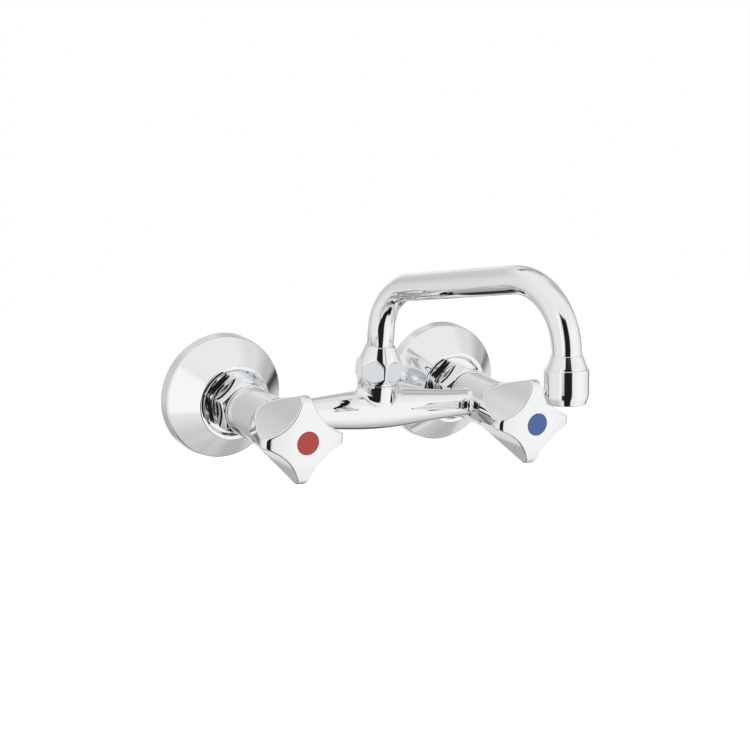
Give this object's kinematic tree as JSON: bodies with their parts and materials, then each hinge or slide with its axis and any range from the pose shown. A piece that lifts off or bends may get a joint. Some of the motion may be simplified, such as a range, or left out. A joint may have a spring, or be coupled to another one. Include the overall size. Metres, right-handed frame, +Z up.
{
  "type": "wall-mounted basin mixer",
  "caption": "Wall-mounted basin mixer with cross handles, wall rosettes, a cross bar body and a swivelling swan-neck spout with an aerator.",
  "frame": {"origin": "middle between the two wall inlets, on the face of the wall", "axes": "+X along the wall from the hot inlet to the cold one, to the right as seen from the room; +Y into the wall; +Z up"},
  "size_m": [0.2244, 0.2329, 0.1419],
  "materials": {
    "chrome": "polished chrome plating on brass",
    "brass": "turned bare brass",
    "rubber": "smooth moulded black rubber",
    "fibre": "pressed red-brown vulcanised fibre",
    "ceramic": "lapped alumina",
    "white_plastic": "satin moulded white acetal",
    "stainless": "plain stainless steel",
    "red_plastic": "glossy dark red moulding",
    "blue_plastic": "glossy dark blue moulding"
  },
  "bodies": {
    "mixer_body": {"hot_eccentric": "brass", "hot_rosette": "chrome", "hot_rosette_lock_nut": "chrome", "hot_union_nut": "chrome", "hot_union_washer": "fibre", "hot_union_nipple": "brass", "hot_headwork_body": "brass", "hot_headwork_o_ring": "rubber", "hot_disc_seal": "rubber", "hot_fixed_disc": "ceramic", "cold_eccentric": "brass", "cold_rosette": "chrome", "cold_rosette_lock_nut": "chrome", "cold_union_nut": "chrome", "cold_union_washer": "fibre", "cold_union_nipple": "brass", "cold_headwork_body": "brass", "cold_headwork_o_ring": "rubber", "cold_disc_seal": "rubber", "cold_fixed_disc": "ceramic", "body": "chrome", "spout_nut": "chrome", "spout_slip_washer": "white_plastic", "spout_slip_ring": "white_plastic"},
    "hot_handle": {"hot_moving_disc": "ceramic", "hot_spindle": "brass", "hot_spindle_o_rings": "rubber", "hot_circlip": "stainless", "hot_handle": "chrome", "hot_handle_screw": "stainless", "hot_index_button": "red_plastic"},
    "cold_handle": {"cold_moving_disc": "ceramic", "cold_spindle": "brass", "cold_spindle_o_rings": "rubber", "cold_circlip": "stainless", "cold_handle": "chrome", "cold_handle_screw": "stainless", "cold_index_button": "blue_plastic"},
    "spout": {"spout_ferrule": "brass", "spout_o_rings": "rubber", "spout_tube": "chrome", "outlet_ferrule": "chrome", "aerator_washer": "rubber", "aerator_screen": "stainless", "aerator_insert": "white_plastic", "aerator_shell": "chrome"}
  },
  "joints": [
    {"name": "hot_handle_turn", "type": "hinge", "parent": "mixer_body", "child": "hot_handle", "pos_m": [-0.075, -0.0713, 0.008], "axis": [0, -1, 0], "range_deg": [0, 90]},
    {"name": "cold_handle_turn", "type": "hinge", "parent": "mixer_body", "child": "cold_handle", "pos_m": [0.075, -0.0713, 0.008], "axis": [0, -1, 0], "range_deg": [0, 90]},
    {"name": "spout_swivel", "type": "hinge", "parent": "mixer_body", "child": "spout", "pos_m": [0, -0.056, 0.034], "axis": [0, 0, 1], "range_deg": [-100.5, 79.5]}
  ]
}
